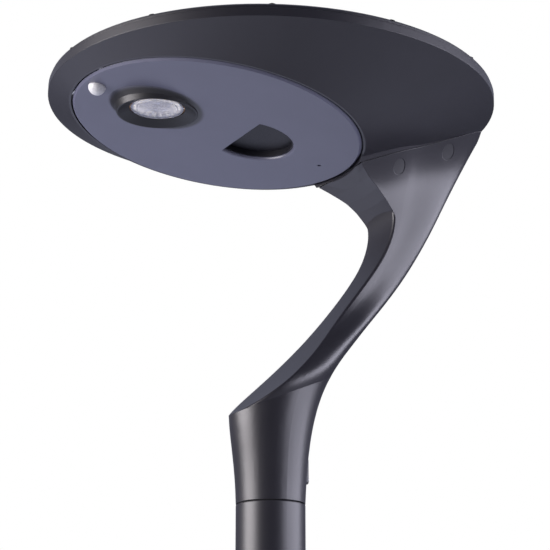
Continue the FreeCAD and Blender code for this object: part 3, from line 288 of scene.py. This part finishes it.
def silicon_finish():
    made, tree, shader, where = start_material("silicon_blue_black")
    grain = noise(tree, where, 9.0, 5.0)
    base = blend_colours(tree, grain, (0.0035, 0.006, 0.020), (0.006, 0.011, 0.034))
    bands = add(tree, "ShaderNodeTexWave", wave_type="BANDS", bands_direction="X")
    bands.inputs["Scale"].default_value = 0.5 / FINGER_PITCH
    tree.links.new(where, bands.inputs["Vector"])
    lines = add(tree, "ShaderNodeMath", operation="GREATER_THAN")
    lines.inputs[1].default_value = FINGER_SHARE
    tree.links.new(bands.outputs["Fac"], lines.inputs[0])
    mix = add(tree, "ShaderNodeMix", data_type="RGBA")
    tree.links.new(lines.outputs[0], mix.inputs[0])
    tree.links.new(base, mix.inputs[6])
    mix.inputs[7].default_value = (0.20, 0.21, 0.24, 1)
    tree.links.new(mix.outputs[2], shader.inputs["Base Color"])
    shader.inputs["Roughness"].default_value = 0.28
    shader.inputs["Coat Weight"].default_value = 0.5
    shader.inputs["Coat Roughness"].default_value = 0.1
    return made


finishes["silicon"] = silicon_finish()


# %% [markdown]
# ## Clear parts
# The panel glass and the lens let light through. A thin sheet could be a simple see-through
# mix, but the lens is thick enough to bend light, so both use real transmission. The lens has faint
# rings turned into its inner face, and its Mapping node puts the rings' centre on the lens.

# %% Glass and lens
def clear_finish(name, tint, rough, index, ring_frame=None, pitch=1.6 * MM, clearness=1.0):
    made, tree, shader, where = start_material(name)
    shader.inputs["Base Color"].default_value = (*tint, 1)
    shader.inputs["Transmission Weight"].default_value = clearness
    shader.inputs["IOR"].default_value = index
    smear = noise(tree, where, 60.0, 2.0)
    tree.links.new(spread(tree, smear, rough[0], rough[1]), shader.inputs["Roughness"])
    if ring_frame is not None:
        mapping = add(tree, "ShaderNodeMapping")
        mapping.inputs["Location"].default_value = -ring_frame.translation
        tree.links.new(where, mapping.inputs["Vector"])
        rings = add(tree, "ShaderNodeTexWave", wave_type="RINGS", rings_direction="Z")
        rings.inputs["Scale"].default_value = 0.5 / pitch
        tree.links.new(mapping.outputs[0], rings.inputs["Vector"])
        bump(tree, shader, rings.outputs["Fac"], 0.35, 0.0003)
    return made


finishes["panel_glass"] = clear_finish("panel_glass", (0.93, 0.97, 0.95), (0.02, 0.05), 1.5)
finishes["lens_clear"] = clear_finish("lens_clear", (0.80, 0.82, 0.92), (0.10, 0.16), 1.49,
                                      lamp_frame, clearness=0.72)


# %% [markdown]
# ## The glowing parts and the sensor dome
# The emitters are warm phosphor under a small dome. A little emission makes them read as lit
# through the lens without lighting the room. The sensor's dome is milky plastic, so light enters it
# and scatters: subsurface scattering does that, and plain white paint would not.

# %% Phosphor and dome
def phosphor_and_glint_finish(name, glow):
    made, tree, shader, where = start_material(name)
    shader.inputs["Base Color"].default_value = (0.85, 0.74, 0.42, 1)
    shader.inputs["Emission Color"].default_value = (1.0, 0.93, 0.80, 1)
    shader.inputs["Emission Strength"].default_value = glow
    fine = noise(tree, where, 1500.0)
    tree.links.new(spread(tree, fine, 0.3, 0.45), shader.inputs["Roughness"])
    return made


def dome_finish():
    made, tree, shader, where = start_material("sensor_dome_milk")
    fine = noise(tree, where, 400.0)
    tree.links.new(blend_colours(tree, fine, (0.50, 0.50, 0.51), (0.60, 0.60, 0.60)),
                   shader.inputs["Base Color"])
    shader.inputs["Subsurface Weight"].default_value = 0.35
    shader.inputs["Subsurface Scale"].default_value = 0.004
    shader.inputs["Subsurface Radius"].default_value = (1.0, 1.0, 1.0)
    tree.links.new(spread(tree, fine, 0.32, 0.4), shader.inputs["Roughness"])
    lenslets = add(tree, "ShaderNodeTexVoronoi", feature="DISTANCE_TO_EDGE", Scale=330.0)
    tree.links.new(where, lenslets.inputs["Vector"])
    bump(tree, shader, lenslets.outputs["Distance"], 0.25, 0.0006)
    return made


finishes["led_phosphor"] = phosphor_and_glint_finish("phosphor", 0.8)
# optic_glow is painted highlight: its strong glow stands in for glints on the lens's edge
finishes["optic_glow"] = phosphor_and_glint_finish("optic_glow", 3.5)
finishes["dome_white"] = dome_finish()


# %% [markdown]
# ## Painting the frame
# The record says which slot each part takes its finish from. Assigning by that list means that no
# part is forgotten, and the print shows it.

# %% Paint every part
slot_of = {row["node"]: row["material_slot"] for row in frame["record"]["subparts"]}
for name, part in nodes.items():
    part.data.materials.clear()
    part.data.materials.append(finishes[slot_of[name]])
print("painted", len(nodes), "parts with", len(set(slot_of.values())), "finishes")


# %% [markdown]
# ## Small repeated pieces with Geometry Nodes
# Washers, emitter domes, side optics and busbars all repeat along a rule. They could be copied in a
# loop, but a Geometry Nodes tree keeps the rule in one place with its sizes as named inputs. The
# tree is evaluated once, its result becomes a plain mesh, and that mesh rides on the body that
# carries it.

# %% Geometry Nodes helpers
def new_rule(name, inputs):
    tree = bpy.data.node_groups.new(name, "GeometryNodeTree")
    tree.interface.new_socket("Geometry", in_out="OUTPUT", socket_type="NodeSocketGeometry")
    for label, value in inputs.items():
        kind = "NodeSocketInt" if isinstance(value, int) else "NodeSocketFloat"
        socket = tree.interface.new_socket(label, in_out="INPUT", socket_type=kind)
        socket.default_value = value
    return tree, tree.nodes.new("NodeGroupInput"), tree.nodes.new("NodeGroupOutput")


def wire(tree, source, target):
    tree.links.new(source, target)


def calc(tree, operation, first, second=None):
    item = tree.nodes.new("ShaderNodeMath")
    item.operation = operation
    for k, value in enumerate((first, second)):
        if value is None:
            continue
        if isinstance(value, (int, float)):
            item.inputs[k].default_value = value
        else:
            wire(tree, value, item.inputs[k])
    return item.outputs[0]


def vector(tree, x=0.0, y=0.0, z=0.0):
    item = tree.nodes.new("ShaderNodeCombineXYZ")
    for k, value in enumerate((x, y, z)):
        if isinstance(value, (int, float)):
            item.inputs[k].default_value = value
        else:
            wire(tree, value, item.inputs[k])
    return item.outputs[0]


def end_rule(tree, out, geometry, material):
    real = tree.nodes.new("GeometryNodeRealizeInstances")
    paint = tree.nodes.new("GeometryNodeSetMaterial")
    paint.inputs["Material"].default_value = material
    wire(tree, geometry, real.inputs[0])
    wire(tree, real.outputs[0], paint.inputs[0])
    wire(tree, paint.outputs[0], out.inputs[0])


def make_piece(name, tree, values, place, body):
    """Runs a rule once and keeps its result as a plain mesh in its place."""
    holder = bpy.data.objects.new(name + "_rule", bpy.data.meshes.new(name + "_rule"))
    bpy.context.scene.collection.objects.link(holder)
    modifier = holder.modifiers.new("rule", "NODES")
    modifier.node_group = tree
    for item in tree.interface.items_tree:
        if item.in_out == "INPUT" and item.name in values:
            modifier[item.identifier] = values[item.name]
    depsgraph = bpy.context.evaluated_depsgraph_get()
    mesh = bpy.data.meshes.new_from_object(holder.evaluated_get(depsgraph))
    bpy.data.objects.remove(holder)
    keep_mesh(name, mesh, place, body)


def keep_mesh(name, mesh, place, body):
    mesh.name = name
    mesh.transform(place)
    piece = bpy.data.objects.new(name, mesh)
    bpy.context.scene.collection.objects.link(piece)
    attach(piece, body)
    print(name, len(mesh.polygons), "faces on", body)


# %% [markdown]
# ## Emitter domes
# Each emitter carries a small clear dome of cured silicone. Two rings of points come from circles,
# and each point gets a flattened half ball.

# %% Emitter domes
def ring_of_points(tree, count, radius, height):
    circle = tree.nodes.new("GeometryNodeMeshCircle")
    wire(tree, count, circle.inputs["Vertices"])
    wire(tree, radius, circle.inputs["Radius"])
    lift = tree.nodes.new("GeometryNodeSetPosition")
    wire(tree, circle.outputs[0], lift.inputs["Geometry"])
    wire(tree, vector(tree, z=height), lift.inputs["Offset"])
    return lift.outputs[0]


def dome_rule():
    tree, given, out = new_rule("emitter_domes", {
        "Outer Count": 16, "Inner Count": 8, "Outer Radius": 0.022, "Inner Radius": 0.011,
        "Dome Radius": 0.0015, "Height": 0.0})
    ball = tree.nodes.new("GeometryNodeMeshUVSphere")
    ball.inputs["Segments"].default_value = 16
    ball.inputs["Rings"].default_value = 8
    wire(tree, given.outputs["Dome Radius"], ball.inputs["Radius"])
    flat = tree.nodes.new("GeometryNodeTransform")
    flat.inputs["Scale"].default_value = (1.0, 1.0, 0.7)
    wire(tree, ball.outputs[0], flat.inputs["Geometry"])
    joined = tree.nodes.new("GeometryNodeJoinGeometry")
    for ring in ("Outer", "Inner"):
        points = ring_of_points(tree, given.outputs[ring + " Count"],
                                given.outputs[ring + " Radius"], given.outputs["Height"])
        wire(tree, points, joined.inputs[0])
    stamp = tree.nodes.new("GeometryNodeInstanceOnPoints")
    wire(tree, joined.outputs[0], stamp.inputs["Points"])
    wire(tree, flat.outputs[0], stamp.inputs["Instance"])
    end_rule(tree, out, stamp.outputs[0], finishes["led_phosphor"])
    return tree


emitters = in_frame(lamp_frame, "led_emitters")
emitter_face = float(emitters[:, 2].min())
emitter_reach = float(np.hypot(emitters[:, 0], emitters[:, 1]).max())
HALF_EMITTER = 2.2 * MM     # from an outer emitter's middle to its far corner
outer_ring = emitter_reach - HALF_EMITTER
print("emitters reach %.4f, their face is at %.4f" % (emitter_reach, emitter_face))
make_piece("emitter_domes", dome_rule(),
           {"Outer Radius": outer_ring, "Inner Radius": outer_ring / 2, "Height": emitter_face},
           lamp_frame, "plate_body")


# %% [markdown]
# ## Ring of painted glints
# Just inside the lens's flange sits a ring of small balls. Their strong glow is painted highlight,
# standing in for the row of bright glints that the lens's edge reflects. They are plain balls, placed
# by the same ring rule as the domes, and they show as a row of points along the lens's edge.

# %% Painted glints
def glint_balls_rule():
    tree, given, out = new_rule("painted_glint_balls", {
        "Count": 22, "Ring Radius": 0.030, "Ball Radius": 0.0017, "Height": 0.0})
    ball = tree.nodes.new("GeometryNodeMeshUVSphere")
    ball.inputs["Segments"].default_value = 16
    ball.inputs["Rings"].default_value = 10
    wire(tree, given.outputs["Ball Radius"], ball.inputs["Radius"])
    points = ring_of_points(tree, given.outputs["Count"], given.outputs["Ring Radius"],
                            given.outputs["Height"])
    stamp = tree.nodes.new("GeometryNodeInstanceOnPoints")
    wire(tree, points, stamp.inputs["Points"])
    wire(tree, ball.outputs[0], stamp.inputs["Instance"])
    end_rule(tree, out, stamp.outputs[0], finishes["optic_glow"])
    return tree


lens = in_frame(lamp_frame, "lamp_lens")
lens_back = float(lens[:, 2].max())
lens_edge = float(np.hypot(lens[:, 0], lens[:, 1]).max())
GLINT_RING_INSET = 8.6 * MM     # from the lens's edge in to the ring
GLINT_RING_LIFT = 1.9 * MM      # from the lens's back up to the ring
print("lens back %.4f, lens edge %.4f" % (lens_back, lens_edge))
make_piece("painted_glint_balls", glint_balls_rule(),
           {"Ring Radius": lens_edge - GLINT_RING_INSET, "Height": lens_back + GLINT_RING_LIFT},
           lamp_frame, "plate_body")


# %% [markdown]
# ## Washers under the bezel screws
# A dozen screws hold the bezel down, and a soft washer under each one keeps water out. The screws'
# circle and the first one's angle are measured on the frame, so the washers land exactly there.

# %% Bezel washers
def washer_rule():
    tree, given, out = new_rule("bezel_washers", {
        "Count": 12, "Circle": 0.29, "Start": 0.0, "Height": 0.0, "Washer Radius": 0.0052,
        "Thickness": 0.0006})
    points = ring_of_points(tree, given.outputs["Count"], given.outputs["Circle"],
                            given.outputs["Height"])
    turn = tree.nodes.new("GeometryNodeTransform")
    wire(tree, points, turn.inputs["Geometry"])
    wire(tree, vector(tree, z=given.outputs["Start"]), turn.inputs["Rotation"])
    washer = tree.nodes.new("GeometryNodeMeshCylinder")
    washer.inputs["Vertices"].default_value = 32
    wire(tree, given.outputs["Washer Radius"], washer.inputs["Radius"])
    wire(tree, given.outputs["Thickness"], washer.inputs["Depth"])
    stamp = tree.nodes.new("GeometryNodeInstanceOnPoints")
    wire(tree, turn.outputs[0], stamp.inputs["Points"])
    wire(tree, washer.outputs["Mesh"], stamp.inputs["Instance"])
    end_rule(tree, out, stamp.outputs[0], finishes["seal_rubber"])
    return tree


BEZEL_SCREWS = 12
WASHER_LIFT = 0.1 * MM
bezel_face = float(in_frame(head_frame, "bezel_ring")[:, 2].max())
screws = in_frame(head_frame, "bezel_screws")
heads = screws[screws[:, 2] > bezel_face + WASHER_LIFT]
angles = np.arctan2(heads[:, 1], heads[:, 0])
start = float(np.angle(np.exp(1j * BEZEL_SCREWS * angles).mean()) / BEZEL_SCREWS)
circle = float(np.hypot(heads[:, 0], heads[:, 1]).mean())
print("screw circle %.4f, first at %.2f degrees" % (circle, math.degrees(start)))
make_piece("bezel_washers", washer_rule(),
           {"Count": BEZEL_SCREWS, "Circle": circle, "Start": start,
            "Height": bezel_face + WASHER_LIFT},
           head_frame, "lamp_body")


# %% [markdown]
# ## Busbars
# Three bright strips cross every cell and run on to the next, so across the round panel they are
# just parallel lines, each as long as the circle is wide there. The rule gives one strip per line and
# scales it by the chord: twice the root of radius squared less distance squared.

# %% Busbars
def busbar_rule():
    tree, given, out = new_rule("busbars", {
        "Lines": 18, "Pitch": 0.027, "Field Radius": 0.27, "Width": 0.0011, "Thickness": 0.00008,
        "Height": 0.0})
    line = tree.nodes.new("GeometryNodeMeshLine")
    line.mode = "OFFSET"
    wire(tree, given.outputs["Lines"], line.inputs["Count"])
    span = calc(tree, "MULTIPLY", given.outputs["Pitch"],
                calc(tree, "SUBTRACT", given.outputs["Lines"], 1.0))
    wire(tree, vector(tree, x=calc(tree, "MULTIPLY", span, -0.5), z=given.outputs["Height"]),
         line.inputs["Start Location"])
    wire(tree, vector(tree, x=given.outputs["Pitch"]), line.inputs["Offset"])
    strip = tree.nodes.new("GeometryNodeMeshCube")
    wire(tree, vector(tree, x=given.outputs["Width"], y=1.0, z=given.outputs["Thickness"]),
         strip.inputs["Size"])
    stamp = tree.nodes.new("GeometryNodeInstanceOnPoints")
    wire(tree, line.outputs[0], stamp.inputs["Points"])
    wire(tree, strip.outputs["Mesh"], stamp.inputs["Instance"])
    spot = tree.nodes.new("GeometryNodeInputPosition")
    parts = tree.nodes.new("ShaderNodeSeparateXYZ")
    wire(tree, spot.outputs[0], parts.inputs[0])
    radius_2 = calc(tree, "MULTIPLY", given.outputs["Field Radius"], given.outputs["Field Radius"])
    away_2 = calc(tree, "MULTIPLY", parts.outputs[0], parts.outputs[0])
    chord = calc(tree, "MULTIPLY", calc(tree, "SQRT", calc(tree, "SUBTRACT", radius_2, away_2)), 2.0)
    wire(tree, vector(tree, 1.0, chord, 1.0), stamp.inputs["Scale"])
    end_rule(tree, out, stamp.outputs[0], finishes["tray_aluminium"])
    return tree


cells = in_frame(head_frame, "panel_cells")
cell_top = float(cells[:, 2].max())
field = float(np.hypot(cells[:, 0], cells[:, 1]).max())
CELL_PITCH = 80.5 * MM
BARS_PER_CELL = 3
FIELD_MARGIN = 4 * MM       # the strips stop this far inside the cells' edge
BAR_LIFT = 0.05 * MM
print("cell top %.4f, cells reach %.4f" % (cell_top, field))
make_piece("cell_busbars", busbar_rule(),
           {"Pitch": CELL_PITCH / BARS_PER_CELL, "Field Radius": field - FIELD_MARGIN,
            "Height": cell_top + BAR_LIFT},
           head_frame, "lamp_body")


# %% [markdown]
# ## The studio
# Two wide soft boxes light the lamp: a neutral one ahead of it and a cooler one to its rear. On the
# dark satin coat they give two upright bands of light along every round surface. The floor is pale
# and glows a little, because the whole underside of the head mirrors it.

# %% Floor
FLOOR_Z = -0.62
FLOOR_RADIUS = 4.6
GLOW_CENTRE = (-2.1, -0.2, 0.0)
GLOW_EDGE = (1.3, 2.7)      # where the floor's glow starts to fade, and where it has gone
FLOOR_GLOW = 0.85
FLOOR_COLOUR = (0.30, 0.30, 0.31)
FLOOR_ROUGHNESS = 0.7
COOL_WHITE = (0.73, 0.77, 1.0)


def floor_finish():
    made, tree, shader, where = start_material("pale_floor")
    shader.inputs["Base Color"].default_value = (*FLOOR_COLOUR, 1)
    shader.inputs["Roughness"].default_value = FLOOR_ROUGHNESS
    length = add(tree, "ShaderNodeVectorMath", operation="LENGTH")
    centred = add(tree, "ShaderNodeMapping", vector_type="TEXTURE")
    centred.inputs["Location"].default_value = GLOW_CENTRE
    tree.links.new(where, centred.inputs["Vector"])
    tree.links.new(centred.outputs[0], length.inputs[0])
    fade = add(tree, "ShaderNodeMapRange", interpolation_type="SMOOTHSTEP")
    fade.inputs["From Min"].default_value = GLOW_EDGE[0]
    fade.inputs["From Max"].default_value = GLOW_EDGE[1]
    fade.inputs["To Min"].default_value = FLOOR_GLOW
    fade.inputs["To Max"].default_value = 0.0
    tree.links.new(length.outputs["Value"], fade.inputs["Value"])
    shader.inputs["Emission Color"].default_value = (*COOL_WHITE, 1)
    tree.links.new(fade.outputs[0], shader.inputs["Emission Strength"])
    return made


bpy.ops.mesh.primitive_circle_add(vertices=96, radius=FLOOR_RADIUS, fill_type="NGON",
                                  location=(0, 0, FLOOR_Z))
floor = bpy.context.object
floor.name = "floor"
floor.data.materials.append(floor_finish())
print("floor at %.2f, glow fades from %.1f to %.1f m" % (FLOOR_Z, *GLOW_EDGE))


# %% [markdown]
# The room around is brighter high up and on the far side, and dark at the horizon, so that the
# satin coat keeps its depth. One gradient by height and one by side are multiplied. The backdrop
# itself is plain white.

# %% World
world = bpy.data.worlds.new("studio")
bpy.context.scene.world = world
world.use_nodes = True
sky = world.node_tree
sky.nodes.clear()
look = add(sky, "ShaderNodeTexCoord")
axes = add(sky, "ShaderNodeSeparateXYZ")
sky.links.new(look.outputs["Generated"], axes.inputs[0])


def sky_range(value, start, end, low, high):
    item = add(sky, "ShaderNodeMapRange", interpolation_type="SMOOTHSTEP")
    item.inputs["From Min"].default_value = start
    item.inputs["From Max"].default_value = end
    item.inputs["To Min"].default_value = low
    item.inputs["To Max"].default_value = high
    sky.links.new(value, item.inputs["Value"])
    return item.outputs[0]


def sky_math(operation, first, second):
    item = add(sky, "ShaderNodeMath", operation=operation)
    sky.links.new(first, item.inputs[0])
    sky.links.new(second, item.inputs[1])
    return item.outputs[0]


FAR_SIDE = Vector((-0.888, 0.459, 0.0))
WALL_GLOW = (0.07, 0.42)    # at the horizon, and from WALL_TOP up
WALL_TOP = 0.30
SIDE_SHARE = (0.2, 1.0)     # how much of it the near side and the far side keep
SIDE_SPAN = 0.8
CEILING_GLOW = 1.4
CEILING_EDGE = (0.86, 0.97)
facing = add(sky, "ShaderNodeVectorMath", operation="DOT_PRODUCT")
facing.inputs[1].default_value = FAR_SIDE
sky.links.new(look.outputs["Generated"], facing.inputs[0])
wall = sky_range(axes.outputs["Z"], 0.0, WALL_TOP, *WALL_GLOW)
side = sky_range(facing.outputs["Value"], 0.0, SIDE_SPAN, *SIDE_SHARE)
ceiling = sky_range(axes.outputs["Z"], *CEILING_EDGE, 0.0, CEILING_GLOW)
room = sky_math("ADD", sky_math("MULTIPLY", wall, side), ceiling)
seen = add(sky, "ShaderNodeLightPath")
bright = sky_math("MAXIMUM", room, seen.outputs["Is Camera Ray"])
tint = add(sky, "ShaderNodeMix", data_type="RGBA")
tint.inputs[6].default_value = (*COOL_WHITE, 1)
tint.inputs[7].default_value = (1, 1, 1, 1)
sky.links.new(seen.outputs["Is Camera Ray"], tint.inputs[0])
back = add(sky, "ShaderNodeBackground")
sky.links.new(tint.outputs[2], back.inputs["Color"])
sky.links.new(bright, back.inputs["Strength"])
sky_out = add(sky, "ShaderNodeOutputWorld")
sky.links.new(back.outputs[0], sky_out.inputs[0])
print("world nodes", len(sky.nodes))


# %% [markdown]
# Each soft box is an area light. Its brightness is given per area, so that a box can be made wider
# without growing brighter. The camera doesn't see the boxes themselves.

# %% Soft boxes
MIDDLE = Vector((0.0, 0.05, 0.4))
BOX_DISTANCE = 2.6
BOX_LIFT = 0.32
BOX_HEIGHT = 1.25


def soft_box(name, toward, width, radiance, colour):
    """An area light of a given brightness, looking back at the middle of the lamp."""
    lamp = bpy.data.lights.new(name, "AREA")
    lamp.shape = "RECTANGLE"
    lamp.size = width
    lamp.size_y = BOX_HEIGHT
    lamp.energy = radiance * math.pi * width * BOX_HEIGHT
    lamp.color = colour
    box = bpy.data.objects.new(name, lamp)
    bpy.context.scene.collection.objects.link(box)
    outward = Vector((*toward, 0)).normalized()
    box.location = MIDDLE + outward * BOX_DISTANCE + Vector((0, 0, BOX_LIFT))
    box.rotation_euler = (MIDDLE - box.location).to_track_quat("-Z", "Y").to_euler()
    box.visible_camera = False
    print(name, "at", [round(c, 2) for c in box.location], "%.0f W" % lamp.energy)


soft_box("front_box", (-0.16, -0.987), 1.9, 15.5, (1.0, 0.955, 0.98))
soft_box("side_box", (0.643, 0.766), 3.5, 8.8, (0.86, 0.85, 1.0))


# %% [markdown]
# ## The camera
# It stands to the lamp's front right and well below the head, looking up, with a long lens so that
# the round head keeps its calm oval.

# %% Camera
CAMERA_PLACE = Vector((2.15615, -1.10832, -0.24793))
CAMERA_LOOK = Vector((-0.85320, 0.44108, 0.27828))
LENS_LENGTH = 125.294
camera_data = bpy.data.cameras.new("camera")
camera_data.lens = LENS_LENGTH
camera_data.sensor_width = 36.0
camera = bpy.data.objects.new("camera", camera_data)
bpy.context.scene.collection.objects.link(camera)
camera.location = CAMERA_PLACE
camera.rotation_euler = CAMERA_LOOK.to_track_quat("-Z", "Y").to_euler()
bpy.context.scene.camera = camera
bpy.context.scene.view_settings.view_transform = "Standard"
print("camera at", [round(c, 3) for c in camera.location], "lens %.1f mm" % LENS_LENGTH)
